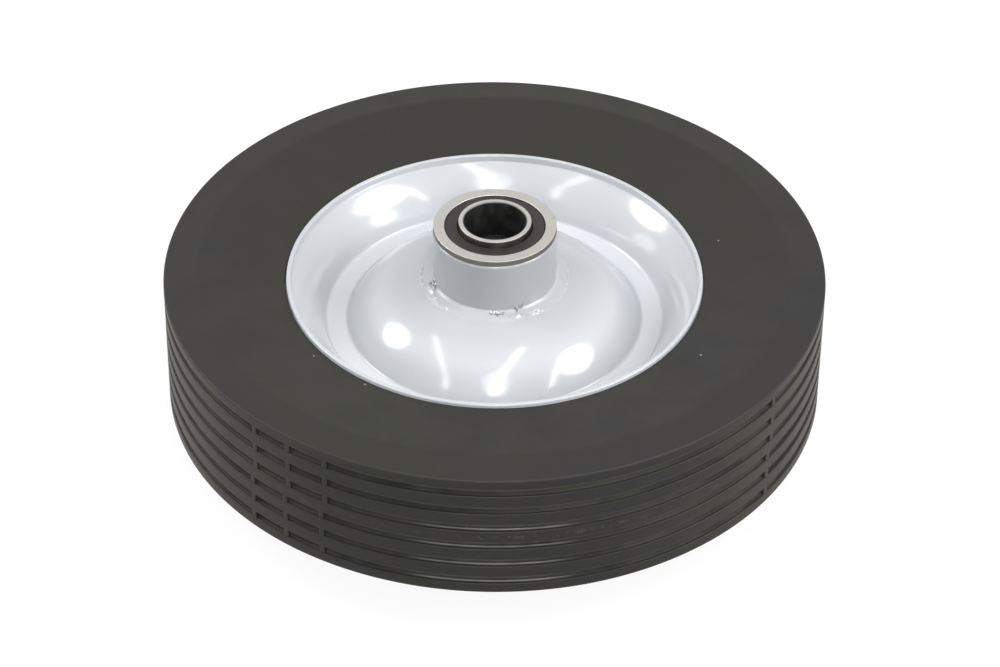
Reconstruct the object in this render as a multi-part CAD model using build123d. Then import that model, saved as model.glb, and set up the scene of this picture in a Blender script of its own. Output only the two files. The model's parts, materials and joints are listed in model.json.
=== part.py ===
from build123d import *
import math
import os

# Wheel of a garden machine, 8 x 1.75 in: a solid ribbed tyre on a rim of two pressed halves,
# a welded hub tube and a flanged ball bearing in each end. Millimetres.
# The axle line is Z, and the origin is the wheel's centre, half way between the two rim halves.

# Tyre
tyre_radius = 101.6
tread_width = 42.7
tread_edge_round = 0.7
ridge_radius = 91.0        # highest line of the sidewall
ridge_rise = 0.875         # ridge above the tread's edge
lip_proud = 1.15           # rim lip above the rubber beside it
tyre_base_room = 4.9       # from the rim's valley out to the inside of the tyre
tyre_seat = 0.1            # rubber to rim

# Tread: ribs between grooves, with narrow bars that bridge the grooves
groove_count = 6
groove_pitch = 6.66
groove_width = 2.6         # at the tread
groove_floor = 1.4         # at the bottom
groove_depth = 2.2
bar_width = 1.9
bar_drop = 0.15            # bars below the ribs
bar_group_angle = -36.6    # middle bar of three, from the front (-Y) towards +X
bar_group_count = 3
bar_group_step = 7.4
bar_single_angle = 54.4
bar_repeats = 2            # times that the bars repeat around the tread

# Rim halves, pressed from sheet
rim_sheet = 3.0
valley_inner_radius = 45.6
valley_width = 6.5
crease_round = 1.6         # inside of the two creases beside the valley
bowl_radius = 31.0         # outward curve of the bowl wall
bowl_run = 10.4            # from the valley out to the foot of the lip
bowl_top_height = 16.85    # heights are from the joint of the two halves
lip_height = 2.25          # upturned lip above the wall
lip_slope = 84.0           # degrees
lip_bend = 0.6             # inside of the bend at its foot
lip_width = 1.4            # across the lip's top
lip_step = 2.0             # depth of the step outside the lip, which the rubber fills
dome_height = 18.2         # where the dome meets the hub
rim_hub_fit = 0.05

# Hub tube and its welds
tube_length = 71.7
tube_wall = 1.57
tube_edge = 0.3
weld_up_tube = 1.2
weld_along_dome = 4.0

# Flanged, sealed ball bearings with a long inner ring
bore_radius = 9.525
bore_edge = 0.35
nose_radius = 11.2         # inner ring where it stands out of the seal
nose_length = 1.65         # inner ring beyond the flange
nose_edge = 0.3
inner_shoulder_radius = 12.0
outer_shoulder_radius = 14.9
seal_seat_radius = 15.45
bearing_radius = 17.4625
bearing_width = 11.1
bearing_seat = 0.02        # bearing in the hub tube
flange_radius = 19.05
flange_thickness = 1.75
flange_edge = 0.25
ball_radius = 2.38
ball_pitch_radius = 13.45
ball_count = 10
ball_clearance = 0.05      # ball to raceway
pocket_clearance = 0.12    # ball to cage
cage_wall = 1.4
cage_base = 0.75           # solid ring behind the ball pockets
cage_reach = 1.0           # prongs beyond the ball centres
seal_thickness = 1.0
seal_recess = 0.35
seal_edge = 0.3
seal_lip_gap = 0.2         # seal lip to inner ring

# Corners closer than this to a line lie on it
same = 0.001

# Places that follow from the sizes above
valley_outer_radius = valley_inner_radius + valley_width
bowl_top_radius = valley_outer_radius + bowl_run
base_radius = valley_outer_radius + tyre_base_room
hub_radius = bearing_radius + bearing_seat + tube_wall
flange_seat = tube_length / 2
bearing_face = flange_seat + flange_thickness
bearing_back = bearing_face - bearing_width
ball_plane = bearing_face - bearing_width / 2
nose_face = bearing_face + nose_length
seal_ledge = bearing_width / 2 - seal_recess - seal_thickness   # from the ball plane


def turned(profile):
    # a flat profile, drawn as radius and height, turned about the axle line
    return revolve(Plane.XZ * profile, Axis.Z)


def rim_visible_side():
    # from the hub outwards: dome, valley, bowl wall and upturned lip
    hub_edge = (hub_radius + rim_hub_fit, dome_height)
    dome = TangentArc(hub_edge, (valley_inner_radius, rim_sheet), tangent=(1, 0))
    valley = Line(dome @ 1, (valley_outer_radius, rim_sheet))
    wall = RadiusArc(valley @ 1, (bowl_top_radius, bowl_top_height), bowl_radius)
    lip_run = lip_height / math.tan(math.radians(lip_slope))
    lip = Line(wall @ 1, wall @ 1 + Vector(lip_run, lip_height))
    side = Wire([dome.edge(), valley.edge(), wall.edge(), lip.edge()])
    creases = [vertex for vertex in side.vertices() if abs(vertex.Y - rim_sheet) < same]
    side = side.fillet_2d(crease_round, creases)
    lip_foot = side.vertices().sort_by_distance((bowl_top_radius, bowl_top_height))[0]
    return side.fillet_2d(lip_bend, [lip_foot])


def dome_top(radius):
    # height of the dome's visible side, which is round and level where it meets the hub
    start = hub_radius + rim_hub_fit
    fall = dome_height - rim_sheet
    curve = ((valley_inner_radius - start)**2 + fall**2) / (2 * fall)
    return dome_height - curve + math.sqrt(curve**2 - (radius - start)**2)


def rim_section():
    visible = rim_visible_side()
    sheet = visible.offset_2d(rim_sheet, kind=Kind.TANGENT, side=Side.RIGHT, closed=True)
    lip_top = visible @ 1
    step_corner = Pos(lip_top.X + lip_width, lip_top.Y - lip_step)
    step = step_corner * Rectangle(rim_sheet, rim_sheet, align=(Align.MIN, Align.MIN))
    return make_face(sheet.edges()) - step


def tread_grooves():
    deep = tyre_radius - groove_depth
    section = Sketch()
    for row in range(groove_count):
        middle = (row - (groove_count - 1) / 2) * groove_pitch
        flare = (groove_width - groove_floor) / 2
        section += Polygon(
            (deep, middle - groove_floor / 2),
            (deep, middle + groove_floor / 2),
            (tyre_radius, middle + groove_width / 2),
            (tyre_radius + groove_depth, middle + groove_width / 2 + flare),
            (tyre_radius + groove_depth, middle - groove_width / 2 - flare),
            (tyre_radius, middle - groove_width / 2),
            align=None,
        )
    return turned(section)


def tread_bars():
    turns = []
    for repeat in range(bar_repeats):
        start = repeat * 360 / bar_repeats
        for place in range(bar_group_count):
            turns.append(start + bar_group_angle + (place - (bar_group_count - 1) / 2) * bar_group_step)
        turns.append(start + bar_single_angle)
    root = tyre_radius - 2 * groove_depth
    height = tyre_radius - bar_drop - root
    bar = Pos(0, -root - height / 2, 0) * Box(bar_width, height, tread_width)
    return [Rot(0, 0, turn) * bar for turn in turns]


def tyre():
    half_width = tread_width / 2
    lip_top = rim_visible_side() @ 1
    rubber_at_lip = lip_top.Y - lip_proud
    upper = Polygon(
        (base_radius, 0),
        (tyre_radius, 0),
        (tyre_radius, half_width),
        (ridge_radius, half_width + ridge_rise),
        (lip_top.X, rubber_at_lip),
        (base_radius, rubber_at_lip),
        align=None,
    )
    edge = upper.vertices().sort_by_distance((tyre_radius, half_width))[0]
    upper = fillet(edge, tread_edge_round)
    # the rim cuts off what would lie in its bowl
    upper = (upper - offset(rim_section(), tyre_seat)).faces().sort_by(SortBy.AREA)[-1]
    blank = turned(upper) + turned(mirror(upper, Plane.XZ))
    grooves = tread_grooves()
    for bar in tread_bars():
        grooves -= bar
    return blank - grooves


def rim_half():
    return turned(rim_section())


def hub_tube():
    section = Pos(hub_radius - tube_wall / 2, 0) * Rectangle(tube_wall, tube_length)
    section = chamfer(section.vertices(), tube_edge)
    return turned(section)


def hub_weld():
    # a bead from the tube to the dome, with a straight face and what lies inside the rim cut off
    inside = dome_height - rim_sheet / 2
    foot = hub_radius + weld_along_dome
    section = Polygon(
        (hub_radius, dome_height),
        (hub_radius, dome_height + weld_up_tube),
        (foot, dome_top(foot)),
        (foot, inside),
        (hub_radius + rim_hub_fit, inside),
        (hub_radius + rim_hub_fit, dome_height),
        align=None,
    )
    return turned(section - rim_section())


def raceway():
    return Pos(ball_pitch_radius, ball_plane) * Circle(ball_radius + ball_clearance)


def outer_ring():
    section = Polygon(
        (outer_shoulder_radius, ball_plane - seal_ledge),
        (seal_seat_radius, ball_plane - seal_ledge),
        (seal_seat_radius, bearing_back),
        (bearing_radius, bearing_back),
        (bearing_radius, flange_seat),
        (flange_radius, flange_seat),
        (flange_radius, bearing_face),
        (seal_seat_radius, bearing_face),
        (seal_seat_radius, ball_plane + seal_ledge),
        (outer_shoulder_radius, ball_plane + seal_ledge),
        align=None,
    )
    rims = [vertex for vertex in section.vertices() if abs(vertex.Y - bearing_face) < same]
    section = chamfer(rims, flange_edge)
    return turned(section - raceway())


def inner_ring():
    shoulder = seal_ledge - seal_lip_gap
    section = Polygon(
        (bore_radius, bearing_back),
        (nose_radius, bearing_back),
        (nose_radius, ball_plane - shoulder),
        (inner_shoulder_radius, ball_plane - shoulder),
        (inner_shoulder_radius, ball_plane + shoulder),
        (nose_radius, ball_plane + shoulder),
        (nose_radius, nose_face),
        (bore_radius, nose_face),
        align=None,
    )
    bore_rims = [vertex for vertex in section.vertices() if abs(vertex.X - bore_radius) < same]
    section = chamfer(bore_rims, bore_edge)
    nose_rim = section.vertices().sort_by_distance((nose_radius, nose_face))[0]
    section = chamfer(nose_rim, nose_edge)
    return turned(section - raceway())


def ball_places():
    return [
        Rot(0, 0, 360 / ball_count * place) * Pos(ball_pitch_radius, 0, ball_plane)
        for place in range(ball_count)
    ]


def balls():
    return Compound([place * Sphere(ball_radius) for place in ball_places()])


def cage():
    pocket = ball_radius + pocket_clearance
    height = cage_base + pocket + cage_reach
    middle = ball_plane + cage_reach - height / 2
    crown = turned(Pos(ball_pitch_radius, middle) * Rectangle(cage_wall, height))
    for place in ball_places():
        crown -= place * Sphere(pocket)
    return crown


def seal():
    # lies flat in its seat, with a bevelled rim and a bevelled lip towards the inner ring
    inside = nose_radius + seal_lip_gap
    width = seal_seat_radius - inside
    height = ball_plane + seal_ledge + seal_thickness / 2
    section = Pos(inside + width / 2, height) * Rectangle(width, seal_thickness)
    return turned(chamfer(section.vertices().group_by(Axis.Y)[-1], seal_edge))


def turned_over(piece):
    return mirror(piece, Plane.XY)


def back_seal():
    # the same seal, set in the other face of the bearing
    return Pos(0, 0, 2 * ball_plane) * turned_over(seal())


def pieces():
    found = {"tyre": tyre(), "hub_tube": hub_tube()}
    sided = {
        "rim_half": rim_half(),
        "hub_weld": hub_weld(),
        "bearing_outer_ring": outer_ring(),
        "bearing_inner_ring": inner_ring(),
        "bearing_balls": balls(),
        "bearing_cage": cage(),
        "bearing_outside_seal": seal(),
        "bearing_inside_seal": back_seal(),
    }
    for name, piece in sided.items():
        found["upper_" + name] = piece
        found["lower_" + name] = turned_over(piece)
    return found


os.makedirs("parts", exist_ok=True)
for node, piece in pieces().items():
    export_step(piece, "parts/" + node + ".step")
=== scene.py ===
import bpy
import json
import math
from mathutils import Matrix, Vector


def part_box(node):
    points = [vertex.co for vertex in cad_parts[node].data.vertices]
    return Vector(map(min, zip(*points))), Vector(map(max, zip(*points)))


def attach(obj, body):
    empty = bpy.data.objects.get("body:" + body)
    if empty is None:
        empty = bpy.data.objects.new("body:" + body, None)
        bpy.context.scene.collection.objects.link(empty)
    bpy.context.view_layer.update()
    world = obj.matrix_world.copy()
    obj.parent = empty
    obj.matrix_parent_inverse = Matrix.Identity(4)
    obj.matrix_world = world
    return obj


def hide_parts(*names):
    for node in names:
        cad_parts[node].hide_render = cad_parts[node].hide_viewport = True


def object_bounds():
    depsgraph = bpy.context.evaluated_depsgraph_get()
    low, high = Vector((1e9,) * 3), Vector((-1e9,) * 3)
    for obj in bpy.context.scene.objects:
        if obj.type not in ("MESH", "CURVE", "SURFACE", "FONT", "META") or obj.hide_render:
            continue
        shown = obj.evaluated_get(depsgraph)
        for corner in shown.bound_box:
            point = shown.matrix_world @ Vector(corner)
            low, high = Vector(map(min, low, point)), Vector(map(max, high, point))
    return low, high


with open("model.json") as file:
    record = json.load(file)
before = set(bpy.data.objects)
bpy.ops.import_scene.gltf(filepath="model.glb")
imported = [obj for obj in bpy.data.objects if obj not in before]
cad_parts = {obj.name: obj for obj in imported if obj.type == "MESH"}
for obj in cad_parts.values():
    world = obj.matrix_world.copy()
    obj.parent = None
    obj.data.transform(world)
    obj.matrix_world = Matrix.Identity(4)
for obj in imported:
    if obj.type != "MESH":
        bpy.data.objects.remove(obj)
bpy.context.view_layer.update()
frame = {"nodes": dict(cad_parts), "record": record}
mm = 0.001
print("frame loaded with", len(frame["nodes"]), "nodes")


# node helpers, for shapes and finishes alike
def feed(tree, socket, value):
    if isinstance(value, bpy.types.NodeSocket):
        tree.links.new(value, socket)
    else:
        socket.default_value = value


def addNode(tree, kind, inputs=None, **settings):
    node = tree.nodes.new(kind)
    for key, value in settings.items():
        setattr(node, key, value)
    for key, value in (inputs or {}).items():
        feed(tree, node.inputs[key], value)
    return node


def made(tree, kind, inputs=None, **settings):
    # most nodes are wanted for their first output
    return addNode(tree, kind, inputs, **settings).outputs[0]


def maths(tree, operation, *values):
    return made(tree, "ShaderNodeMath", dict(enumerate(values)), operation=operation)


def times(tree, product, *factors):
    for factor in factors:
        product = maths(tree, "MULTIPLY", product, factor)
    return product


def ramp(tree, value, low, high, toLow=0.0, toHigh=1.0):
    # smooth step from one level to another
    return made(tree, "ShaderNodeMapRange", {0: value, 1: low, 2: high, 3: toLow, 4: toHigh},
                interpolation_type="SMOOTHSTEP")


def band(tree, value, rise, fall):
    # full between two soft edges, each given from none to full
    return times(tree, ramp(tree, value, *rise), ramp(tree, value, *fall))


def noise(tree, vector, scale, detail=2.0, rough=0.5, seed=0.0):
    return made(tree, "ShaderNodeTexNoise",
                {"Vector": vector, "W": seed, "Scale": scale, "Detail": detail, "Roughness": rough},
                noise_dimensions="4D")


def xyz(tree, x=0.0, y=0.0, z=0.0):
    return made(tree, "ShaderNodeCombineXYZ", {0: x, 1: y, 2: z})


def fromAxle(tree, place):
    # millimetres out from the axle line and up from the wheel's middle
    x, y, z = addNode(tree, "ShaderNodeSeparateXYZ", {0: place}).outputs
    flat = maths(tree, "ADD", times(tree, x, x), times(tree, y, y))
    return maths(tree, "DIVIDE", maths(tree, "SQRT", flat), mm), maths(tree, "DIVIDE", z, mm)


def angleAround(tree, place):
    # degrees from the front towards +X
    parts = addNode(tree, "ShaderNodeSeparateXYZ", {0: place}).outputs
    return maths(tree, "DEGREES", maths(tree, "ARCTAN2", parts[0], times(tree, parts[1], -1)))


# outlines are radius and height in millimetres, and run around the section
def roundedOutline(corners, arcSteps=4, hold=0.2, longestRun=4.0):
    points = []
    for place, (radius, height, rounding) in enumerate(corners):
        here = Vector((radius, height))
        if not rounding:
            points.append(here)
            continue
        toLast = (Vector(corners[place - 1][:2]) - here).normalized()
        toNext = (Vector(corners[(place + 1) % len(corners)][:2]) - here).normalized()
        half = toLast.angle(toNext) / 2
        reach = rounding / math.tan(half)
        centre = here + (toLast + toNext).normalized() * rounding / math.sin(half)
        start = here + toLast * reach - centre
        end = here + toNext * reach - centre
        points.append(centre + start + toLast * hold)   # keeps the flat beside an arc flat
        points += [centre + start.slerp(end, step / arcSteps) * rounding for step in range(arcSteps + 1)]
        points.append(centre + end + toNext * hold)
    closed = []
    for place, here in enumerate(points):
        onward = points[(place + 1) % len(points)] - here
        runs = max(1, math.ceil(onward.length / longestRun))
        closed += [here + onward * run / runs for run in range(runs)]
    closed.append(closed[0])
    turns = sum(a.x * b.y - b.x * a.y for a, b in zip(closed, closed[1:]))
    return closed if turns > 0 else closed[::-1]


def turnedOver(outline):
    return [Vector((point.x, -point.y)) for point in reversed(outline)]


# every shape starts from an outline that is turned about the axle line
turnedInputs = {"Outline": "Geometry", "Steps": "Int", "Waviness": "Float", "Wave Scale": "Float",
                "Seed": "Float", "Finish": "Material"}


def shapeTree(name, more=None):
    tree = bpy.data.node_groups.new(name, "GeometryNodeTree")
    for socket, kind in {**turnedInputs, **(more or {})}.items():
        tree.interface.new_socket(socket, in_out="INPUT", socket_type="NodeSocket" + kind)
    tree.interface.new_socket("Piece", in_out="OUTPUT", socket_type="NodeSocketGeometry")
    return tree, addNode(tree, "NodeGroupInput").outputs


def endTree(tree, given, parts):
    joined = addNode(tree, "GeometryNodeJoinGeometry")
    for part in parts:
        tree.links.new(part, joined.inputs[0])
    smooth = made(tree, "GeometryNodeSetShadeSmooth", {"Geometry": joined.outputs[0]})
    real = made(tree, "GeometryNodeRealizeInstances", {"Geometry": smooth})
    done = made(tree, "GeometryNodeSetMaterial", {"Geometry": real, "Material": given["Finish"]})
    addNode(tree, "NodeGroupOutput", {"Piece": done})
    return tree


def turnedTree():
    tree, given = shapeTree("turnedPiece")
    rows = addNode(tree, "GeometryNodeAttributeDomainSize", {0: given["Outline"]}).outputs["Point Count"]
    columns = maths(tree, "ADD", given["Steps"], 1)
    grid = made(tree, "GeometryNodeMeshGrid", {"Vertices X": columns, "Vertices Y": rows})
    index = made(tree, "GeometryNodeInputIndex")
    column = made(tree, "FunctionNodeIntegerMath", {0: index, 1: rows}, operation="DIVIDE_FLOOR")
    row = made(tree, "FunctionNodeIntegerMath", {0: index, 1: rows}, operation="MODULO")
    position = made(tree, "GeometryNodeInputPosition")
    sample = made(tree, "GeometryNodeSampleIndex",
                  {"Geometry": given["Outline"], "Value": position, "Index": row}, data_type="FLOAT_VECTOR")
    point = addNode(tree, "ShaderNodeSeparateXYZ", {0: sample}).outputs
    angle = maths(tree, "DIVIDE", times(tree, column, 2 * math.pi), given["Steps"])
    place = xyz(tree, times(tree, point[0], maths(tree, "COSINE", angle)),
                times(tree, point[0], maths(tree, "SINE", angle)), point[2])
    turned = made(tree, "GeometryNodeSetPosition", {"Geometry": grid, "Position": place})
    closed = made(tree, "GeometryNodeMergeByDistance", {"Geometry": turned, "Distance": 0.002 * mm})
    # shallow waves, nearly all of them inwards
    swell = maths(tree, "SUBTRACT", noise(tree, position, given["Wave Scale"], 1.0, 0.5, given["Seed"]), 0.85)
    normal = made(tree, "GeometryNodeInputNormal")
    push = made(tree, "ShaderNodeVectorMath",
                {0: normal, "Scale": times(tree, swell, given["Waviness"])}, operation="SCALE")
    waved = made(tree, "GeometryNodeSetPosition", {"Geometry": closed, "Offset": push})
    return endTree(tree, given, [waved])


turnedPieceTree = turnedTree()


def turnedGroup(tree, given):
    node = addNode(tree, "GeometryNodeGroup", node_tree=turnedPieceTree)
    for name in turnedInputs:
        feed(tree, node.inputs[name], given[name])
    return node.outputs[0]


def turnedValues(finish, steps, waviness=0.0, waveScale=1.0, seed=0.0):
    return {"Finish": finish, "Steps": steps, "Waviness": waviness * mm, "Wave Scale": waveScale,
            "Seed": seed}


def shapedPiece(name, outline, tree, values):
    points = bpy.data.meshes.new(name + "Outline")
    points.from_pydata([(point.x * mm, 0, point.y * mm) for point in outline], [], [])
    piece = bpy.data.objects.new(name, points)
    bpy.context.scene.collection.objects.link(piece)
    shape = piece.modifiers.new("shape", "NODES")
    shape.node_group = tree
    for item in tree.interface.items_tree:
        if item.in_out == "INPUT" and item.name in values:
            shape[item.identifier] = values[item.name]
    shaped = piece.evaluated_get(bpy.context.evaluated_depsgraph_get())
    mesh = bpy.data.meshes.new_from_object(shaped)
    piece.modifiers.remove(shape)
    piece.data = mesh
    mesh.name = name
    bpy.data.meshes.remove(points)
    print("shaped", name, len(mesh.polygons), "faces")
    return piece


def settle(piece, body, node):
    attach(piece, body)
    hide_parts(node)


# finishes
def newFinish(name, **sockets):
    material = bpy.data.materials.new(name)
    material.use_nodes = True
    tree = material.node_tree
    shader = tree.nodes["Principled BSDF"]
    for socket, value in sockets.items():
        shader.inputs[socket].default_value = value
    return material, tree, shader


def objectPlace(tree):
    return addNode(tree, "ShaderNodeTexCoord").outputs["Object"]


def mixed(tree, share, first, second, blend="MIX"):
    node = addNode(tree, "ShaderNodeMix", {0: share, 6: first, 7: second}, data_type="RGBA", blend_type=blend)
    return node.outputs[2]


def mixedValue(tree, share, first, second):
    return made(tree, "ShaderNodeMix", {0: share, 2: first, 3: second})


def bumped(tree, shader, height, depth, strength, under=None):
    # depth in millimetres; a second bump lies on the one under it
    node = addNode(tree, "ShaderNodeBump", {"Height": height, "Distance": depth * mm, "Strength": strength})
    if under is not None:
        feed(tree, node.inputs["Normal"], under)
    feed(tree, shader.inputs["Normal"], node.outputs[0])
    return node.outputs[0]


def specks(tree, place, scale, size, share):
    # few small dots, each in its own cell
    node = addNode(tree, "ShaderNodeTexVoronoi", {"Vector": place, "Scale": scale})
    dot = ramp(tree, node.outputs["Distance"], size, size * 0.5)
    kept = made(tree, "ShaderNodeSeparateColor", {0: node.outputs["Color"]})
    return times(tree, dot, maths(tree, "LESS_THAN", kept, share))


rubberLook = {
    "olive": (0.0108, 0.0108, 0.0064, 1), "grey": (0.0108, 0.0102, 0.0108, 1),
    "brown": (0.0150, 0.0108, 0.0085, 1), "sideDustAndSheen": (0.0220, 0.0150, 0.0092, 1),
    "dust": (0.30, 0.29, 0.26, 1), "worn": (0.062, 0.050, 0.042, 1),
    "grooveDust": (0.070, 0.068, 0.061, 1), "grooveGlint": (0.31, 0.31, 0.31, 1),
    "rough": (0.50, 0.62), "treadRough": 0.44, "wornRough": 0.15, "shine": 0.40, "treadShine": 0.29,
    "tint": (1.0, 0.975, 0.94, 1), "treadTint": (1.0, 0.99, 0.98, 1), "flowDepth": 0.12, "grainDepth": 0.05,
}


def tyreRubber():
    look = rubberLook
    tread = tyreSizes["radius"]
    edge = tyreSizes["ridgeHeight"]
    pitch = tyreSizes["pitch"]
    material, tree, shader = newFinish("tyreRubber")
    place = objectPlace(tree)
    radius, height = fromAxle(tree, place)
    aside = maths(tree, "ABSOLUTE", height)
    turn = maths(tree, "RADIANS", angleAround(tree, place))
    cloud = noise(tree, place, 22, 3, 0.55, 3)
    patch = noise(tree, place, 60, 3, 0.6, 8)
    colour = mixed(tree, ramp(tree, cloud, 0.35, 0.65), look["olive"], look["grey"])
    colour = mixed(tree, ramp(tree, patch, 0.54, 0.72, 0, 0.55), colour, look["brown"])
    # the outside of the ribs is scuffed, most of all along the mould line half way across
    onTread = ramp(tree, radius, tread - 0.35, tread - 0.15)
    flattened = made(tree, "ShaderNodeMapping", {0: place, 3: (1, 1, 9)})
    scuff = ramp(tree, noise(tree, flattened, 160, 4, 0.65, 5), 0.56, 0.74)
    midline = ramp(tree, aside, 1.1, 0.15)
    fleck = ramp(tree, noise(tree, place, 330, 3, 0.7, 2), 0.52, 0.66)
    wear = maths(tree, "ADD", times(tree, scuff, 0.45), times(tree, midline, fleck))
    colour = mixed(tree, times(tree, onTread, wear), colour, look["worn"])
    colour = mixed(tree, specks(tree, place, 130, 0.055, 0.06), colour, look["dust"])
    # ribs and grooves came smooth from the mould, and the grooves hold some dust; on the left and right sides
    # they are lighter and browner, partly brown dust and partly a painted sheen
    smoothed = times(tree, ramp(tree, aside, edge - 1.2, edge - 2.0),
                     ramp(tree, radius, tread - 3.0, tread - 2.6))
    sideways = ramp(tree, maths(tree, "ABSOLUTE", maths(tree, "SINE", turn)), 0.45, 0.80)
    dustAndSheen = times(tree, smoothed, sideways, ramp(tree, patch, 0.36, 0.62, 0.25, 1.0))
    colour = mixed(tree, dustAndSheen, colour, look["sideDustAndSheen"])
    inGroove = times(tree, smoothed, ramp(tree, radius, tread - 0.5, tread - 1.0),
                     ramp(tree, patch, 0.3, 0.6, 0.45, 1.0))
    colour = mixed(tree, inGroove, colour, look["grooveDust"])
    # painted highlight: a pale line along the lower wall of the lower grooves, at the front and the back,
    # stands in for a glint
    inPitch = maths(tree, "FLOORED_MODULO", height, pitch)
    lowWall = times(tree, maths(tree, "LESS_THAN", inPitch, pitch / 2),
                    maths(tree, "LESS_THAN", height, pitch))
    onGlintBand = band(tree, radius, (tread - 1.55, tread - 1.25), (tread - 0.85, tread - 1.1))
    frontOrBack = ramp(tree, maths(tree, "ABSOLUTE", maths(tree, "COSINE", turn)), 0.966, 0.992)
    line = times(tree, lowWall, onGlintBand, frontOrBack, ramp(tree, patch, 0.3, 0.6, 0.4, 1.0))
    feed(tree, shader.inputs["Base Color"], mixed(tree, line, colour, look["grooveGlint"]))
    shine = mixedValue(tree, smoothed, look["shine"], look["treadShine"])
    feed(tree, shader.inputs["Specular IOR Level"], shine)
    feed(tree, shader.inputs["Specular Tint"], mixed(tree, smoothed, look["tint"], look["treadTint"]))
    dull = ramp(tree, patch, 0.3, 0.7, look["rough"][1], look["rough"][0])
    fine = maths(tree, "ADD", look["treadRough"], times(tree, wear, look["wornRough"]))
    feed(tree, shader.inputs["Roughness"], mixedValue(tree, smoothed, dull, fine))
    flow = bumped(tree, shader, noise(tree, place, 140, 3, 0.5, 6), look["flowDepth"], 0.5)
    bumped(tree, shader, noise(tree, place, 1400, 2, 0.6, 1), look["grainDepth"], 0.35, flow)
    return material


paintLook = {
    "pale": (0.525, 0.542, 0.565), "cool": (0.505, 0.526, 0.552), "speck": (0.20, 0.20, 0.20, 1),
    "paintedShade": (0.90, 0.90, 0.90, 1), "thick": (1.26, 1.26, 1.26, 1), "rough": (0.36, 0.42),
    "longDepth": 0.10, "shortDepth": 0.012,
}


def palePaint(name, tint=1.0, peel=1.0):
    look = paintLook
    foot = rimSizes["valleyIn"]
    wall = rimSizes["valleyOut"]
    material, tree, shader = newFinish(name, **{
        "Specular IOR Level": 0.25, "Coat Weight": 1.0, "Coat Roughness": 0.12, "Coat IOR": 1.5})
    place = objectPlace(tree)
    radius = fromAxle(tree, place)[0]
    drift = noise(tree, place, 30, 3, 0.5, 4)
    pale, cool = ([part * tint for part in look[shade]] + [1] for shade in ("pale", "cool"))
    colour = mixed(tree, ramp(tree, drift, 0.35, 0.65), pale, cool)
    # painted shade and light: the colour is darker around the hub and on the dome's foot, and lighter in the
    # valley
    shadedFoot = band(tree, radius, (foot - 9, foot - 3), (foot + 0.6, foot - 0.6))
    shadedNearHub = ramp(tree, radius, foot - 8, foot - 17)
    colour = mixed(tree, maths(tree, "MAXIMUM", shadedFoot, shadedNearHub), colour, look["paintedShade"], "MULTIPLY")
    # painted light: the valley's colour is brightened
    litValley = band(tree, radius, (foot - 0.3, foot + 0.9), (wall + 0.6, wall - 0.6))
    colour = mixed(tree, litValley, colour, look["thick"], "MULTIPLY")
    dots = times(tree, specks(tree, place, 300, 0.05, 0.03), 0.5)
    feed(tree, shader.inputs["Base Color"], mixed(tree, dots, colour, look["speck"]))
    feed(tree, shader.inputs["Roughness"], ramp(tree, drift, 0.3, 0.7, *look["rough"]))
    long = bumped(tree, shader, noise(tree, place, 70, 2, 0.5, 9), look["longDepth"] * peel, 0.5)
    skin = bumped(tree, shader, noise(tree, place, 420, 2, 0.5, 7), look["shortDepth"] * peel, 0.5, long)
    feed(tree, shader.inputs["Coat Normal"], skin)
    return material


steelLook = {
    "ground": (0.53, 0.515, 0.485, 1), "stain": (0.33, 0.30, 0.26, 1), "spot": (0.12, 0.10, 0.085, 1),
    "bore": (0.14, 0.14, 0.135, 1), "side": (0.215, 0.205, 0.188, 1), "nose": (0.150, 0.138, 0.126, 1),
    "rough": (0.36, 0.52), "sideRough": 0.62, "turningDepth": 0.012,
}


def bearingSteel():
    look = steelLook
    bore, nose, flange = (bearingSizes[name] for name in ("bore", "nose", "flange"))
    material, tree, shader = newFinish("bearingSteel", Metallic=1.0)
    place = objectPlace(tree)
    radius, height = fromAxle(tree, place)
    cloud = noise(tree, place, 260, 4, 0.65, 5)
    colour = mixed(tree, ramp(tree, cloud, 0.56, 0.74, 0, 0.7), look["ground"], look["stain"])
    spots = times(tree, specks(tree, place, 420, 0.16, 0.05), 0.7)
    colour = mixed(tree, spots, colour, look["spot"])
    # painted shade: the bore is made darker than the ground steel
    colour = mixed(tree, ramp(tree, radius, bore + 0.36, bore + 0.28), colour, look["bore"])
    # painted shade: the flange's side is darker, and rougher
    shadedSide = ramp(tree, radius, flange - 0.10, flange - 0.04)
    colour = mixed(tree, shadedSide, colour, look["side"])
    # painted shade: the long inner ring is darkened beside the seal
    shadedNose = band(tree, radius, (nose - 0.16, nose - 0.08), (nose + 1.2, nose + 1.0))
    feed(tree, shader.inputs["Base Color"], mixed(tree, shadedNose, colour, look["nose"]))
    ground = ramp(tree, cloud, 0.35, 0.7, *look["rough"])
    roughSide = times(tree, shadedSide, look["sideRough"])
    feed(tree, shader.inputs["Roughness"], maths(tree, "MAXIMUM", ground, roughSide))
    turning = noise(tree, xyz(tree, radius, height), 2.6, 2, 0.7, 2)   # marks run around the axle line
    bumped(tree, shader, turning, look["turningDepth"], 0.6)
    return material


sealLook = {"dark": (0.0150, 0.0132, 0.0118, 1), "pale": (0.0230, 0.0200, 0.0172, 1),
            "dust": (0.20, 0.18, 0.15, 1), "rough": (0.42, 0.58), "grainDepth": 0.02}


def sealRubber():
    look = sealLook
    material, tree, shader = newFinish("sealRubber", **{"Specular IOR Level": 0.40})
    place = objectPlace(tree)
    cloud = noise(tree, place, 240, 3, 0.6, 3)
    colour = mixed(tree, ramp(tree, cloud, 0.35, 0.7), look["dark"], look["pale"])
    colour = mixed(tree, specks(tree, place, 700, 0.11, 0.05), colour, look["dust"])
    feed(tree, shader.inputs["Base Color"], colour)
    feed(tree, shader.inputs["Roughness"], ramp(tree, cloud, 0.3, 0.7, *look["rough"]))
    bumped(tree, shader, noise(tree, place, 1800, 2, 0.6, 1), look["grainDepth"], 0.4)
    return material


ballLook = {"bright": (0.70, 0.71, 0.72, 1), "hazy": (0.60, 0.60, 0.60, 1), "rough": (0.06, 0.14)}


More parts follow.
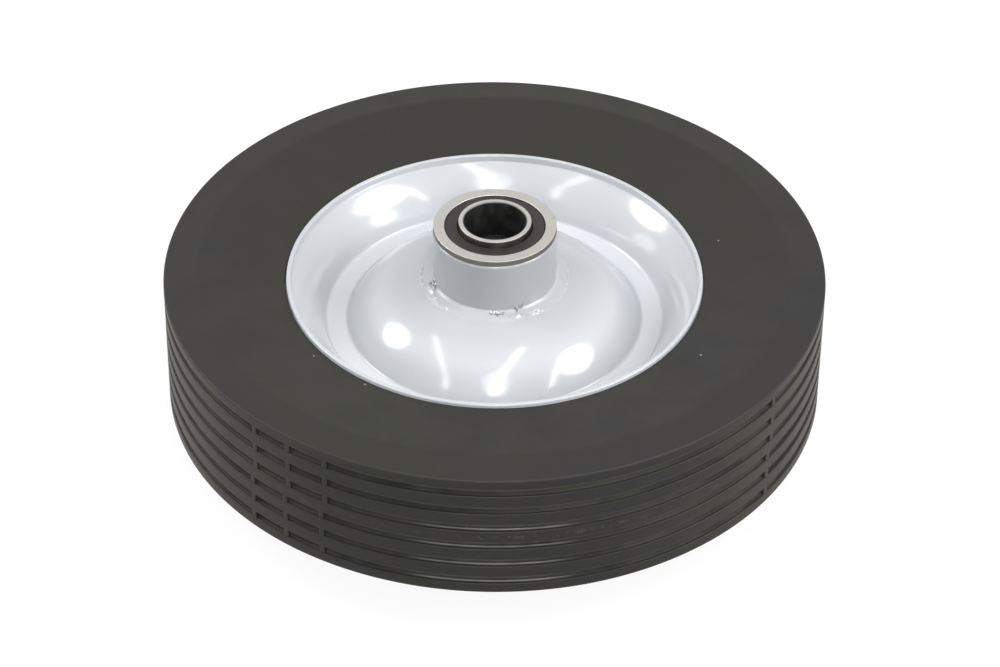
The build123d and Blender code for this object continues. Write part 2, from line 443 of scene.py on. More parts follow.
def ballSteel():
    look = ballLook
    material, tree, shader = newFinish("ballSteel", Metallic=1.0)
    haze = noise(tree, objectPlace(tree), 500, 3, 0.5, 2)
    feed(tree, shader.inputs["Base Color"], mixed(tree, haze, look["bright"], look["hazy"]))
    feed(tree, shader.inputs["Roughness"], ramp(tree, haze, 0.3, 0.7, *look["rough"]))
    return material


cageLook = {"dark": (0.42, 0.37, 0.28, 1), "pale": (0.50, 0.45, 0.35, 1), "rough": (0.40, 0.55),
            "grainDepth": 0.01}


def cagePlastic():
    look = cageLook
    material, tree, shader = newFinish("cagePlastic", **{"Subsurface Weight": 0.05})
    place = objectPlace(tree)
    haze = noise(tree, place, 350, 3, 0.5, 6)
    feed(tree, shader.inputs["Base Color"], mixed(tree, haze, look["dark"], look["pale"]))
    feed(tree, shader.inputs["Roughness"], ramp(tree, haze, 0.3, 0.7, *look["rough"]))
    bumped(tree, shader, noise(tree, place, 2200, 2, 0.5, 1), look["grainDepth"], 0.4)
    return material


# rim halves, pressed from sheet
rimSizes = {
    "sheet": 3.0, "domeTop": 18.2, "hubEdge": 19.1025, "valleyIn": 45.6, "valleyOut": 52.1, "crease": 1.6,
    "wallCurve": 31.0, "wallTop": (62.5, 16.85), "lipHeight": 2.25, "lipSlope": 84.0, "lipBend": 0.6,
    "lipWidth": 1.4, "lipStep": 2.0, "stepShort": 0.2, "edgeRound": 0.5,
    "steps": 320, "waviness": 0.03, "waveScale": 32.0,
}


def rimVisibleSide():
    # arcs as centre, bend, slopes at both ends and steps; a point comes with the way to the hidden side
    size = rimSizes
    fall = size["domeTop"] - size["sheet"]
    run = size["valleyIn"] - size["hubEdge"]
    domeCurve = (run ** 2 + fall ** 2) / (2 * fall)
    domeEnd = -math.degrees(math.asin(run / domeCurve))
    domeCentre = Vector((size["hubEdge"], size["domeTop"] - domeCurve))
    foot = Vector((size["valleyOut"], size["sheet"]))
    chord = Vector(size["wallTop"]) - foot
    lean = math.degrees(math.atan2(chord.y, chord.x))
    swing = math.degrees(math.asin(chord.length / 2 / size["wallCurve"]))
    low = math.radians(lean + swing)
    wallCentre = foot + Vector((math.sin(low), -math.cos(low))) * size["wallCurve"]
    inReach = size["crease"] * math.tan(math.radians(-domeEnd) / 2)
    outReach = size["crease"] * math.tan(low / 2)
    inTrim = math.degrees(inReach / domeCurve)
    outTrim = math.degrees(outReach / size["wallCurve"])
    creaseHeight = size["sheet"] + size["crease"]
    arcs = [
        (domeCentre, domeCurve, 0, domeEnd + inTrim, 30),
        (Vector((size["valleyIn"] + inReach, creaseHeight)), size["crease"], domeEnd, 0, 8),
        (Vector((size["valleyOut"] - outReach, creaseHeight)), size["crease"], 0, lean + swing, 8),
        (wallCentre, size["wallCurve"], lean + swing - outTrim, lean - swing, 16),
    ]
    line = []
    for centre, bend, first, last, steps in arcs:
        side = 1 if last > first else -1
        for step in range(steps + 1):
            slope = math.radians(first + (last - first) * step / steps)
            across = Vector((math.sin(slope), -math.cos(slope)))
            spot = centre + across * bend * side
            if not line or (line[-1][0] - spot).length > 0.02:   # arcs share their end points
                line.append((spot, across))
    return line


def rimLip():
    # inner and outer edge of the lip's top, and the corners of the step outside it
    size = rimSizes
    slope = math.radians(size["lipSlope"])
    inner = Vector(size["wallTop"]) + Vector((1 / math.tan(slope), 1)) * size["lipHeight"]
    outer = inner + Vector((size["lipWidth"], -size["lipWidth"] / math.tan(slope)))
    stepIn = Vector((outer.x, inner.y - size["lipStep"]))
    stepOut = Vector((inner.x + size["sheet"] - size["stepShort"], stepIn.y))
    return inner, outer, stepIn, stepOut


def rimOutline():
    size = rimSizes
    line = rimVisibleSide()
    inner, outer, stepIn, stepOut = rimLip()
    visible = [(spot.x, spot.y, 0) for spot, across in line]
    visible[-1] = visible[-1][:2] + (size["lipBend"],)
    lip = [(inner.x, inner.y, size["edgeRound"]), (outer.x, outer.y, size["edgeRound"]),
           (stepIn.x, stepIn.y, 0), (stepOut.x, stepOut.y, 0)]
    hidden = [spot + across * size["sheet"] for spot, across in reversed(line)]
    hidden = [(spot.x, spot.y, 0) for spot in hidden]
    return roundedOutline(visible + lip + hidden, hold=0.08)


def makeRim(finish):
    size = rimSizes
    outline = rimOutline()
    for side, line, seed in (("upper", outline, 1.0), ("lower", turnedOver(outline), 2.0)):
        values = turnedValues(finish, size["steps"], size["waviness"], size["waveScale"], seed)
        half = shapedPiece(side + "RimHalf", line, turnedPieceTree, values)
        settle(half, "wheel", side + "_rim_half")


# tyre, with grooves around the tread and bars that bridge them
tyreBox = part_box("tyre")[1]
tyreSizes = {
    "radius": tyreBox.x / mm, "ridgeHeight": tyreBox.z / mm, "ridgeRadius": 91.0, "ridgeRise": 0.875,
    "shoulderRound": 0.6, "ridgeRound": 8.0, "lipProud": 0.95, "lipGap": 0.22, "lipRound": 0.25,
    "baseRadius": 57.0, "seat": 0.1, "grooves": 6, "pitch": 6.66, "width": 2.6, "floor": 1.4, "depth": 2.2,
    "edgeRound": 0.45, "floorRound": 0.6, "steps": 320, "waviness": 0.10, "waveScale": 28.0, "seed": 3.0,
}
# three bars and a single one, by angle from the front towards +X
barTurns = {"Group Angle": -36.6, "Group Count": 3, "Group Step": 7.4, "Single Angle": 54.4, "Repeats": 2,
            "Mould Shift": 0.42}
barSizes = {"Bar Width": 1.9, "Bar Drop": 0.1, "Bar Round": 0.3}


def tyreOutline():
    size = tyreSizes
    deep = size["radius"] - size["depth"]
    tread = []
    for row in range(size["grooves"]):
        middle = (row - (size["grooves"] - 1) / 2) * size["pitch"]
        tread += [
            (size["radius"], middle - size["width"] / 2, size["edgeRound"]),
            (deep, middle - size["floor"] / 2, size["floorRound"]),
            (deep, middle + size["floor"] / 2, size["floorRound"]),
            (size["radius"], middle + size["width"] / 2, size["edgeRound"]),
        ]
    inner, outer, stepIn, stepOut = rimLip()
    atLip = outer.x + size["lipGap"]
    seat = [spot + across * (rimSizes["sheet"] + size["seat"]) for spot, across in rimVisibleSide()]
    seat = [spot for spot in seat if spot.x > size["baseRadius"]]
    upper = [
        (size["radius"], size["ridgeHeight"] - size["ridgeRise"], size["shoulderRound"]),
        (size["ridgeRadius"], size["ridgeHeight"], size["ridgeRound"]),
        (atLip, inner.y - size["lipProud"], size["lipRound"]),
        (atLip, stepIn.y + size["seat"], 0),
        (stepOut.x + size["seat"], stepOut.y + size["seat"], 0),
    ]
    upper += [(spot.x, spot.y, 0) for spot in reversed(seat)]
    upper.append((size["baseRadius"], seat[0].y, 0))
    lower = [(radius, -height, rounding) for radius, height, rounding in reversed(upper)]
    return roundedOutline(tread + upper + lower, arcSteps=3, hold=0.1)


def tyreTree():
    tree, given = shapeTree("ribbedTyre", {
        "Radius": "Float", "Grooves": "Int", "Pitch": "Float", "Groove Width": "Float", "Depth": "Float",
        "Group Angle": "Float", "Group Count": "Int", "Group Step": "Float", "Single Angle": "Float",
        "Repeats": "Int", "Bar Width": "Float", "Bar Drop": "Float", "Bar Round": "Float",
        "Mould Shift": "Float"})
    body = turnedGroup(tree, given)
    # one bar: a rounded block that reaches a little into the groove's floor and walls
    tall = times(tree, given["Depth"], 1.2)
    block = made(tree, "GeometryNodeCurvePrimitiveQuadrilateral",
                 {"Width": tall, "Height": given["Bar Width"]})
    rounded = made(tree, "GeometryNodeFilletCurve",
                   {"Curve": block, "Count": 3, "Radius": given["Bar Round"]}, mode="POLY")
    halfSpan = times(tree, given["Groove Width"], 0.7)
    span = made(tree, "GeometryNodeCurvePrimitiveLine",
                {"Start": xyz(tree, z=times(tree, halfSpan, -1)), "End": xyz(tree, z=halfSpan)})
    bar = made(tree, "GeometryNodeCurveToMesh", {"Curve": span, "Profile Curve": rounded, "Fill Caps": True})
    # a point for every bar in every groove
    inGroup = maths(tree, "ADD", given["Group Count"], 1)
    index = made(tree, "GeometryNodeInputIndex")
    row = maths(tree, "FLOORED_MODULO", index, given["Grooves"])
    number = maths(tree, "FLOOR", maths(tree, "DIVIDE", maths(tree, "ADD", index, 0.5), given["Grooves"]))
    repeat = maths(tree, "FLOOR", maths(tree, "DIVIDE", maths(tree, "ADD", number, 0.5), inGroup))
    place = maths(tree, "SUBTRACT", number, times(tree, repeat, inGroup))
    halfGroup = maths(tree, "DIVIDE", maths(tree, "SUBTRACT", given["Group Count"], 1), 2)
    fromMiddle = maths(tree, "SUBTRACT", place, halfGroup)
    grouped = maths(tree, "MULTIPLY_ADD", fromMiddle, given["Group Step"], given["Group Angle"])
    single = maths(tree, "GREATER_THAN", place, maths(tree, "SUBTRACT", given["Group Count"], 0.5))
    angle = made(tree, "GeometryNodeSwitch", {0: single, 1: grouped, 2: given["Single Angle"]},
                 input_type="FLOAT")
    turn = maths(tree, "MULTIPLY_ADD", repeat, maths(tree, "DIVIDE", 360, given["Repeats"]), angle)
    # the two halves of the mould met a little out of line
    halfRows = maths(tree, "DIVIDE", maths(tree, "SUBTRACT", given["Grooves"], 1), 2)
    rowHeight = maths(tree, "SUBTRACT", row, halfRows)
    turn = maths(tree, "MULTIPLY_ADD", maths(tree, "SIGN", rowHeight), given["Mould Shift"], turn)
    turn = maths(tree, "RADIANS", maths(tree, "SUBTRACT", turn, 90))   # bar angles start at the front
    top = maths(tree, "SUBTRACT", given["Radius"], given["Bar Drop"])
    middle = maths(tree, "SUBTRACT", top, maths(tree, "DIVIDE", tall, 2))
    spot = xyz(tree, times(tree, middle, maths(tree, "COSINE", turn)),
               times(tree, middle, maths(tree, "SINE", turn)), times(tree, rowHeight, given["Pitch"]))
    count = times(tree, given["Repeats"], inGroup, given["Grooves"])
    points = made(tree, "GeometryNodePoints", {"Count": count, "Position": spot})
    rotation = made(tree, "FunctionNodeEulerToRotation", {0: xyz(tree, z=turn)})
    bars = made(tree, "GeometryNodeInstanceOnPoints",
                {"Points": points, "Instance": bar, "Rotation": rotation})
    return endTree(tree, given, [body, bars])


def makeTyre(finish):
    size = tyreSizes
    values = turnedValues(finish, size["steps"], size["waviness"], size["waveScale"], size["seed"])
    lengths = {"Radius": size["radius"], "Pitch": size["pitch"], "Groove Width": size["width"],
               "Depth": size["depth"], **barSizes}
    values.update({name: length * mm for name, length in lengths.items()})
    tyre = shapedPiece("solidTyre", tyreOutline(), tyreTree(),
                       {**values, **barTurns, "Grooves": size["grooves"]})
    settle(tyre, "wheel", "tyre")


# hub tube
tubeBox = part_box("hub_tube")[1]
hubSizes = {"radius": tubeBox.x / mm, "end": tubeBox.z / mm, "wall": 1.57, "edge": 0.95, "insideEdge": 0.4,
            "steps": 192, "waviness": 0.03, "waveScale": 60.0, "seed": 5.0}


def makeHubTube(finish):
    size = hubSizes
    inside = size["radius"] - size["wall"]
    outline = roundedOutline([
        (size["radius"], -size["end"], size["edge"]), (size["radius"], size["end"], size["edge"]),
        (inside, size["end"], size["insideEdge"]), (inside, -size["end"], size["insideEdge"])],
        hold=0.1, longestRun=3.0)
    values = turnedValues(finish, size["steps"], size["waviness"], size["waveScale"], size["seed"])
    tube = shapedPiece("hubTube", outline, turnedPieceTree, values)
    settle(tube, "wheel", "hub_tube")


# weld beads that hold the tube
weldSizes = {
    "upTube": 1.25, "alongDome": 4.05, "sunk": 0.9, "corner": 0.4, "thick": 0.42, "inTube": 0.2, "dip": 0.05,
    "points": 25, "crowding": 1.25, "steps": 560, "seed": 4.0, "ripples": 46, "rippleHeight": 0.012,
    "lumpHeight": 0.42, "wander": 1.8, "strokeEnd": 3.0, "beads": 22, "beadRadius": 0.22,
    "beadScale": (0.3, 1.0), "beadsFrom": (20.8, 21.4), "beadStrip": (21.5, 2.5),
}
# scars of the welding, by angle as the bars: strokes from, to, radius, height and width
weldStrokes = [
    (11.0, 28.0, 21.8, 0.95, 0.75), (23.0, 47.0, 22.5, 0.80, 0.50), (28.0, 41.0, 21.3, 0.50, 0.40),
    (-74.0, -54.0, 21.2, 0.90, 0.70), (-62.0, -38.0, 22.2, 0.75, 0.50), (-104.0, -74.0, 22.6, 0.55, 0.38),
    (70.0, 102.0, 22.6, 0.40, 0.28), (150.0, 185.0, 22.0, 0.50, 0.42),
]
# slag as angle, radius, height and size, and drops of metal on the tube likewise
weldSlag = [
    (-75.0, 19.6, 19.3, 1.9), (-68.0, 20.0, 18.9, 1.5), (-2.0, 19.6, 18.7, 1.1), (3.0, 19.8, 18.6, 1.4),
    (8.0, 19.7, 18.6, 1.0), (20.5, 19.4, 19.4, 1.2), (25.0, 19.2, 20.0, 1.3), (140.0, 19.6, 19.0, 1.4),
]
weldDrops = [
    (25.0, 18.9, 20.2, 0.85), (21.0, 18.95, 19.8, 0.60), (-74.0, 18.9, 20.1, 0.80),
    (-70.0, 19.0, 19.6, 0.60), (4.5, 19.0, 19.5, 0.40),
]
weldLook = {"slag": (0.085, 0.083, 0.080, 1), "slagShare": 0.8, "stroke": (0.95, 0.96, 0.96, 1), "peel": 1.6}


def weldSpot(angle, radius, height):
    turn = math.radians(angle)
    return Vector((math.sin(turn) * radius, -math.cos(turn) * radius, height)) * mm


def strayRadius(tree, place, seed):
    # strokes of the welding wander in and out
    stray = maths(tree, "SUBTRACT", noise(tree, place, 330, 2, 0.5, seed), 0.5)
    return maths(tree, "MULTIPLY_ADD", stray, weldSizes["wander"], fromAxle(tree, place)[0])


def strokeHeight(tree, degrees, radius, stroke):
    first, last, at, tall, wide = stroke
    end = weldSizes["strokeEnd"]
    along = band(tree, degrees, (first, first + end), (last, last - end))
    aside = maths(tree, "ABSOLUTE", maths(tree, "SUBTRACT", radius, at))
    return times(tree, along, ramp(tree, aside, wide, 0.1 * wide), tall)


def weldPaint():
    # the rim's paint, with a painted highlight along the strokes, and dark cracked slag beside the tube
    look = weldLook
    material = palePaint("weldPaint", peel=look["peel"])
    tree = material.node_tree
    shader = tree.nodes["Principled BSDF"]
    paint = shader.inputs["Base Color"].links[0].from_socket
    place = objectPlace(tree)
    degrees = angleAround(tree, place)
    wandering = strayRadius(tree, place, weldSizes["seed"] + 1)
    # painted highlight: the strokes are made paler
    pale = 0.0
    for stroke in weldStrokes:
        pale = maths(tree, "MAXIMUM", pale, strokeHeight(tree, degrees, wandering, stroke))
    strokeGlint = ramp(tree, noise(tree, place, 560, 3, 0.6, 8), 0.50, 0.60)
    paint = mixed(tree, times(tree, pale, strokeGlint), paint, look["stroke"])
    x, y, z = addNode(tree, "ShaderNodeSeparateXYZ", {0: place}).outputs
    upright = xyz(tree, x, y, maths(tree, "ABSOLUTE", z))   # both welds have the same slag
    slag = 0.0
    for angle, radius, height, wide in weldSlag:
        spot = weldSpot(angle, radius, height)
        away = addNode(tree, "ShaderNodeVectorMath", {0: upright, 1: spot}, operation="DISTANCE")
        near = ramp(tree, away.outputs["Value"], wide * mm, 0.55 * wide * mm)
        slag = maths(tree, "MAXIMUM", slag, near)
    vein = maths(tree, "SUBTRACT", noise(tree, place, 620, 2, 0.55, 3), 0.5)
    crack = ramp(tree, maths(tree, "ABSOLUTE", vein), 0.075, 0.035)
    dark = times(tree, slag, crack, look["slagShare"])
    feed(tree, shader.inputs["Base Color"], mixed(tree, dark, paint, look["slag"]))
    return material


def domeHeight(radius):
    line = [spot for spot, across in rimVisibleSide()]
    for near, far in zip(line, line[1:]):
        if near.x <= radius <= far.x:
            return near.lerp(far, (radius - near.x) / (far.x - near.x)).y
    return line[0].y


def weldOutline():
    size = weldSizes
    tube = hubSizes["radius"]
    foot = tube + size["alongDome"]
    under = domeHeight(foot) - size["dip"] - size["sunk"]
    # a tight corner at the tube, then a thin layer that thins out along the dome
    face = []
    for step in range(size["points"] + 1):
        away = size["alongDome"] * (step / size["points"]) ** size["crowding"]
        corner = (size["upTube"] - size["thick"]) * math.exp(-away / size["corner"])
        layer = size["thick"] * (1 - (away / size["alongDome"]) ** 2)
        face.append((tube + away, domeHeight(tube + away) + corner + layer - size["dip"], 0))
    behind = tube - size["inTube"]
    start = (behind, rimSizes["domeTop"] + size["upTube"], 0)
    return roundedOutline([start] + face + [(foot, under, 0), (behind, under, 0)], longestRun=1.0)


def weldTree():
    tree, given = shapeTree("weldBead", {
        "Ripples": "Int", "Ripple Height": "Float", "Lump Height": "Float", "Beads": "Float",
        "Bead Radius": "Float", "Side": "Float"})
    body = turnedGroup(tree, given)
    seed = given["Seed"]
    position = made(tree, "GeometryNodeInputPosition")
    radius = fromAxle(tree, position)[0]
    degrees = angleAround(tree, position)
    lumps = maths(tree, "SUBTRACT", noise(tree, position, 130, 2, 0.5, seed), 0.42)
    rise = times(tree, lumps, given["Lump Height"])
    wobble = times(tree, noise(tree, position, 120, 2, 0.5, seed), 9)
    turn = maths(tree, "RADIANS", degrees)
    beat = maths(tree, "SINE", maths(tree, "MULTIPLY_ADD", turn, given["Ripples"], wobble))
    rise = maths(tree, "ADD", rise, times(tree, beat, given["Ripple Height"]))
    ragged = ramp(tree, noise(tree, position, 700, 3, 0.6, seed), 0.36, 0.60)
    wandering = strayRadius(tree, position, seed)
    for stroke in weldStrokes:
        ridge = times(tree, strokeHeight(tree, degrees, wandering, stroke), ragged, mm)
        rise = maths(tree, "ADD", rise, ridge)
    normal = made(tree, "GeometryNodeInputNormal")
    push = made(tree, "ShaderNodeVectorMath", {0: normal, "Scale": rise}, operation="SCALE")
    lumpy = made(tree, "GeometryNodeSetPosition", {"Geometry": body, "Offset": push})
    # spatter beside the foot
    upward = addNode(tree, "ShaderNodeSeparateXYZ", {0: normal}).outputs[2]
    level = maths(tree, "GREATER_THAN", maths(tree, "ABSOLUTE", upward), 0.5)
    beside = times(tree, ramp(tree, radius, *weldSizes["beadsFrom"]), level)
    spread = made(tree, "GeometryNodeDistributePointsOnFaces",
                  {"Mesh": lumpy, "Selection": beside, "Density": given["Beads"], "Seed": 7})
    bead = made(tree, "GeometryNodeMeshIcoSphere", {"Radius": given["Bead Radius"], "Subdivisions": 2})
    small, large = weldSizes["beadScale"]
    scales = addNode(tree, "FunctionNodeRandomValue", {2: small, 3: large, "Seed": 3}, data_type="FLOAT")
    beads = made(tree, "GeometryNodeInstanceOnPoints",
                 {"Points": spread, "Instance": bead, "Scale": scales.outputs[1]})
    drops = []
    for angle, away, height, wide in weldDrops:
        spot = weldSpot(angle, away, height)
        spot = xyz(tree, spot.x, spot.y, times(tree, given["Side"], spot.z))
        drop = made(tree, "GeometryNodeMeshIcoSphere", {"Radius": wide * mm, "Subdivisions": 3})
        drops.append(made(tree, "GeometryNodeTransform", {"Geometry": drop, "Translation": spot}))
    return endTree(tree, given, [lumpy, beads] + drops)


def makeWelds(finish):
    size = weldSizes
    outline = weldOutline()
    tree = weldTree()
    stripRadius, stripWidth = size["beadStrip"]
    area = 2 * math.pi * stripRadius * stripWidth * mm * mm   # the strip that the spatter lies on
    for side, line, way in (("upper", outline, 1.0), ("lower", turnedOver(outline), -1.0)):
        bead = shapedPiece(side + "HubWeld", line, tree, {
            **turnedValues(finish, size["steps"], seed=size["seed"] + way), "Side": way,
            "Ripples": size["ripples"], "Ripple Height": size["rippleHeight"] * mm,
            "Lump Height": size["lumpHeight"] * mm, "Beads": size["beads"] / area,
            "Bead Radius": size["beadRadius"] * mm})
        settle(bead, "wheel", side + "_hub_weld")


# flanged ball bearings
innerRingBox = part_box("upper_bearing_inner_ring")
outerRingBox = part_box("upper_bearing_outer_ring")
bearingSizes = {
    "bore": frame["record"]["mounts"][0].get("radius_m", 9.525 * mm) / mm, "boreEdge": 0.35,
    "nose": 11.2, "noseEdge": 0.3, "noseFace": innerRingBox[1].z / mm, "back": innerRingBox[0].z / mm,
    "innerShoulder": 12.0, "outerShoulder": 14.9, "shoulderEdge": 0.1, "outside": 17.4625,
    "flange": outerRingBox[1].x / mm - 0.22,   # a little smaller than the solid's
    "face": outerRingBox[1].z / mm, "flangeThick": 1.75, "flangeFoot": 0.12, "edge": 0.22, "steps": 192,
}
sealSizes = {
    "seat": 15.45, "fit": 0.02, "thick": 1.0, "recess": 0.35, "edge": 0.3, "gap": 0.2,
    "groove": 0.32, "grooveDepth": 0.6, "grooveEdge": 0.1,
    "dipFrom": (1.3, 1.1), "dipTo": (-1.2, -1.4), "dip": 0.08, "dipRound": 0.3,
}


def bearingOutlines():
    size = bearingSizes
    seal = sealSizes
    edge, shoulderEdge = size["edge"], size["shoulderEdge"]
    plane = (size["face"] + size["back"]) / 2
    ledge = (size["face"] - size["back"]) / 2 - seal["recess"] - seal["thick"]
    shoulder = ledge - seal["gap"]
    flangeSeat = size["face"] - size["flangeThick"]
    outerRing = roundedOutline([
        (size["outside"], size["back"], edge), (size["outside"], flangeSeat, 0),
        (size["flange"], flangeSeat, size["flangeFoot"]), (size["flange"], size["face"], edge),
        (seal["seat"], size["face"], edge), (seal["seat"], plane + ledge, 0),
        (size["outerShoulder"], plane + ledge, shoulderEdge),
        (size["outerShoulder"], plane - ledge, shoulderEdge),
        (seal["seat"], plane - ledge, 0), (seal["seat"], size["back"], edge)], hold=0.1, longestRun=2.0)
    innerRing = roundedOutline([
        (size["bore"], size["noseFace"], size["boreEdge"]), (size["bore"], size["back"], size["boreEdge"]),
        (size["nose"], size["back"], size["noseEdge"]), (size["nose"], plane - shoulder, 0),
        (size["innerShoulder"], plane - shoulder, shoulderEdge),
        (size["innerShoulder"], plane + shoulder, shoulderEdge),
        (size["nose"], plane + shoulder, 0), (size["nose"], size["noseFace"], size["noseEdge"])],
        hold=0.1, longestRun=2.0)
    # the seal dips half way across and turns up to its lip
    lip = size["nose"] + seal["gap"]
    low = plane + ledge
    top = low + seal["thick"]
    rim = seal["seat"] - seal["fit"]
    inRim = seal["seat"] - seal["groove"]
    middle = (lip + seal["seat"]) / 2
    outsideSeal = roundedOutline([
        (rim, low, 0), (rim, top - seal["grooveDepth"], 0),
        (inRim, top - seal["grooveDepth"], 0), (inRim, top, seal["grooveEdge"]),
        (middle + seal["dipFrom"][0], top, seal["dipRound"]),
        (middle + seal["dipFrom"][1], top - seal["dip"], seal["dipRound"]),
        (middle + seal["dipTo"][0], top - seal["dip"], seal["dipRound"]),
        (middle + seal["dipTo"][1], top, seal["dipRound"]),
        (lip, top, seal["edge"]), (lip, low, 0)], hold=0.05, longestRun=2.0)
    insideSeal = [Vector((spot.x, 2 * plane - spot.y)) for spot in reversed(outsideSeal)]
    return {"OuterRing": outerRing, "InnerRing": innerRing,
            "OutsideSeal": outsideSeal, "InsideSeal": insideSeal}


bearingPieces = {
    "OuterRing": ("bearing_outer_ring", "wheel", "bearing_steel"),
    "InnerRing": ("bearing_inner_ring", "inner_rings", "bearing_steel"),
    "OutsideSeal": ("bearing_outside_seal", "wheel", "seal_rubber"),
    "InsideSeal": ("bearing_inside_seal", "wheel", "seal_rubber"),
}


def makeBearings(finishes):
    for name, outline in bearingOutlines().items():
        node, body, slot = bearingPieces[name]
        values = turnedValues(finishes[slot], bearingSizes["steps"])
        for side, line in (("upper", outline), ("lower", turnedOver(outline))):
            piece = shapedPiece(side + "Bearing" + name, line, turnedPieceTree, values)
            settle(piece, body, side + "_" + node)


def finishCadNodes(finishes):
    # balls and cages stay as they are, with finishes of their own
    for side in ("upper", "lower"):
        for node, slot in (("bearing_balls", "ball_steel"), ("bearing_cage", "cage_plastic")):
            mesh = frame["nodes"][side + "_" + node].data
            mesh.materials.clear()
            mesh.materials.append(finishes[slot])


# camera, looking at the wheel from the front and above
cameraView = {"lens": 133.06, "sensor": 36.0, "away": 1.152, "elevation": 38.07, "roll": 0.488,
              "aim": (0.00182, 0.0, -0.00439), "nearest": 0.01}


def makeCamera():
    view = cameraView
    rise = math.radians(view["elevation"])
    roll = math.radians(view["roll"])
    back = Vector((0, -math.cos(rise), math.sin(rise)))
    up = Vector((0, math.sin(rise), math.cos(rise)))
    right = Vector((1, 0, 0))
    across = right * math.cos(roll) + up * math.sin(roll)
    upward = up * math.cos(roll) - right * math.sin(roll)
    data = bpy.data.cameras.new("camera")
    data.sensor_fit = "HORIZONTAL"
    data.sensor_width = view["sensor"]
    data.lens = view["lens"]
    data.clip_start = view["nearest"]
    camera = bpy.data.objects.new("camera", data)
    bpy.context.scene.collection.objects.link(camera)
    turn = Matrix((across, upward, back)).transposed().to_4x4()
    camera.matrix_world = Matrix.Translation(Vector(view["aim"]) + back * view["away"]) @ turn
    bpy.context.scene.camera = camera


# soft boxes: turn from the front towards +X and elevation in degrees, distance and size in metres
boxAway = 1.4
softBoxes = {
    "topBox": {"turn": 180, "elevation": 78, "away": 1.5, "wide": 1.6, "tall": 1.4, "watts": 1.2,
               "mirrored": False},
    "leftBox": {"turn": -105.5, "elevation": 37, "wide": 0.52, "tall": 0.54, "watts": 7.0},
    "leftLowBox": {"turn": -102, "elevation": 13, "wide": 0.44, "tall": 0.34, "watts": 1.1},
    "rightBox": {"turn": 79, "elevation": 40, "wide": 0.72, "tall": 0.64, "watts": 8.8},
    "rightLowBox": {"turn": 73, "elevation": 21, "wide": 0.46, "tall": 0.34, "watts": 3.0},
    "centreBox": {"turn": 2, "elevation": 47, "wide": 0.44, "tall": 0.66, "watts": 3.2},
    "frontBox": {"turn": 0, "elevation": 20, "wide": 0.54, "tall": 0.28, "watts": 2.0},
}
# strips under the ceiling: both ends on plan, in metres
ceiling = 1.0
strips = {
    "leftStrip": {"ends": ((-0.47, 0.20), (-0.72, -0.84)), "wide": 0.08, "watts": 2.0},
    "leftFrontStrip": {"ends": ((-0.71, -0.80), (-1.02, -1.28)), "wide": 0.12, "watts": 1.9},
    "backStrip": {"ends": ((0.235, 0.0), (0.13, -0.52)), "wide": 0.075, "watts": 1.2},
    "middleStrip": {"ends": ((0.12, -0.46), (0.04, -1.00)), "wide": 0.14, "watts": 1.6},
    "frontStrip": {"ends": ((0.05, -0.94), (0.02, -1.75)), "wide": 0.25, "watts": 4.4},
    "rightStrip": {"ends": ((0.82, -0.46), (1.20, -1.22)), "wide": 0.11, "watts": 3.2},
}


def addLamp(name, shape, wide, tall, watts):
    data = bpy.data.lights.new(name, "AREA")
    data.shape = shape
    data.size = wide
    data.size_y = tall
    data.energy = watts
    holder = bpy.data.objects.new(name, data)
    bpy.context.scene.collection.objects.link(holder)
    return holder


def makeLamps():
    for name, box in softBoxes.items():
        holder = addLamp(name, "ELLIPSE", box["wide"], box["tall"], box["watts"])
        turn = math.radians(box["turn"])
        rise = math.radians(box["elevation"])
        way = Vector((math.sin(turn) * math.cos(rise), -math.cos(turn) * math.cos(rise), math.sin(rise)))
        holder.location = way * box.get("away", boxAway)
        holder.rotation_euler = way.to_track_quat("Z", "Y").to_euler()
        holder.visible_glossy = box.get("mirrored", True)
    for name, strip in strips.items():
        first, last = (Vector(end) for end in strip["ends"])
        run = last - first
        holder = addLamp(name, "RECTANGLE", strip["wide"], run.length, strip["watts"])
        holder.location = ((first + last) / 2).to_3d() + Vector((0, 0, ceiling))
        holder.rotation_euler = (0, 0, math.atan2(run.y, run.x) - math.pi / 2)


# the floor keeps the wheel's shadow and turns white away from it; distances in millimetres, size in metres
stageLook = {"size": 6.0, "glow": 0.92, "ownColour": 0.095, "bounce": 0.80, "grain": 0.985,
             "fadeFrom": 125.0, "fadeTo": 260.0, "sky": 0.25}


def seenDirectly(tree):
    path = addNode(tree, "ShaderNodeLightPath").outputs
    through = maths(tree, "MAXIMUM", path["Is Glossy Ray"], path["Is Transmission Ray"])
    return maths(tree, "MAXIMUM", path["Is Camera Ray"], through)


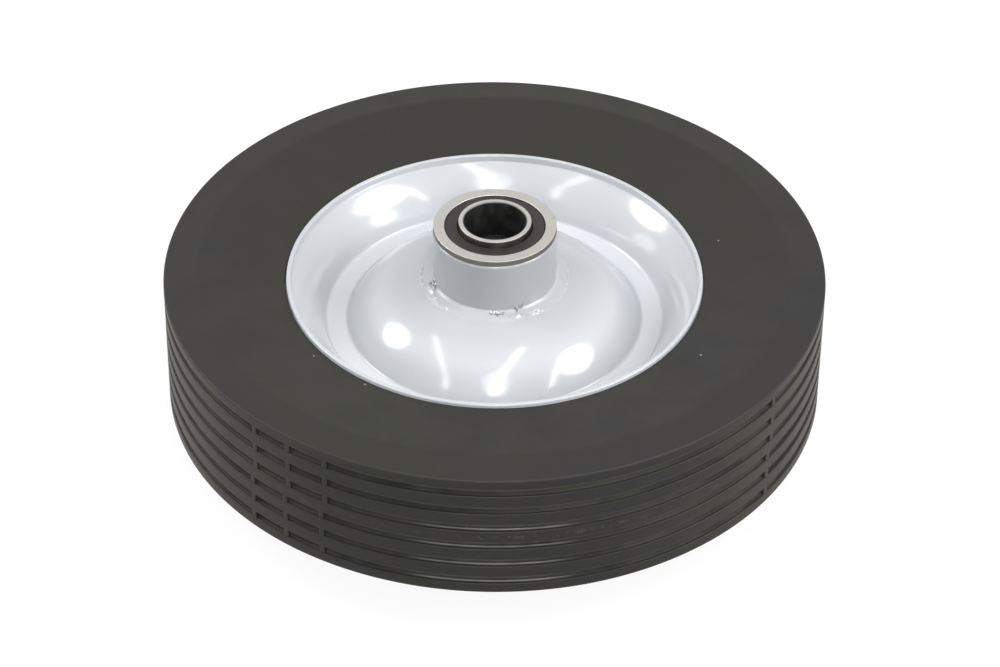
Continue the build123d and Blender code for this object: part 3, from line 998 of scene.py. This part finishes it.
def floorFinish():
    look = stageLook
    material = bpy.data.materials.new("paleFloor")
    material.use_nodes = True
    tree = material.node_tree
    tree.nodes.clear()
    place = objectPlace(tree)
    seen = seenDirectly(tree)
    fade = ramp(tree, fromAxle(tree, place)[0], look["fadeFrom"], look["fadeTo"], look["glow"], 1.0)
    lit = made(tree, "ShaderNodeEmission", {"Strength": times(tree, seen, fade)})
    own = maths(tree, "MULTIPLY_ADD", seen, look["ownColour"] - look["bounce"], look["bounce"])
    own = times(tree, own, ramp(tree, noise(tree, place, 40, 2, 0.5, 1), 0.2, 0.8, look["grain"], 1.0))
    colour = made(tree, "ShaderNodeCombineColor", {0: own, 1: own, 2: own})
    matt = made(tree, "ShaderNodeBsdfDiffuse", {"Color": colour})
    both = made(tree, "ShaderNodeAddShader", {0: matt, 1: lit})
    addNode(tree, "ShaderNodeOutputMaterial", {"Surface": both})
    return material


def makeStage():
    half = stageLook["size"] / 2
    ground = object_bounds()[0].z
    corners = [(x * half, y * half, ground) for x, y in ((-1, -1), (1, -1), (1, 1), (-1, 1))]
    mesh = bpy.data.meshes.new("floor")
    mesh.from_pydata(corners, [], [(0, 1, 2, 3)])
    mesh.materials.append(floorFinish())
    floor = bpy.data.objects.new("floor", mesh)
    bpy.context.scene.collection.objects.link(floor)
    world = bpy.data.worlds.new("paleRoom")
    bpy.context.scene.world = world
    world.use_nodes = True
    sky = world.node_tree
    background = sky.nodes["Background"]
    background.inputs["Color"].default_value = (1, 1, 1, 1)
    feed(sky, background.inputs["Strength"], ramp(sky, seenDirectly(sky), 0, 1, stageLook["sky"], 1.0))
    bpy.context.scene.view_settings.view_transform = "Standard"


makeTyre(tyreRubber())
makeRim(palePaint("rimPaint"))
# painted shade: the hub tube has the rim's paint, darkened by its tint
makeHubTube(palePaint("hubPaintShaded", tint=0.84, peel=0.6))
makeWelds(weldPaint())
finishes = {"bearing_steel": bearingSteel(), "seal_rubber": sealRubber(),
            "ball_steel": ballSteel(), "cage_plastic": cagePlastic()}
makeBearings(finishes)
finishCadNodes(finishes)
print("pieces are made and finished")
makeCamera()
makeLamps()
makeStage()
print("camera, lamps and stage are set")
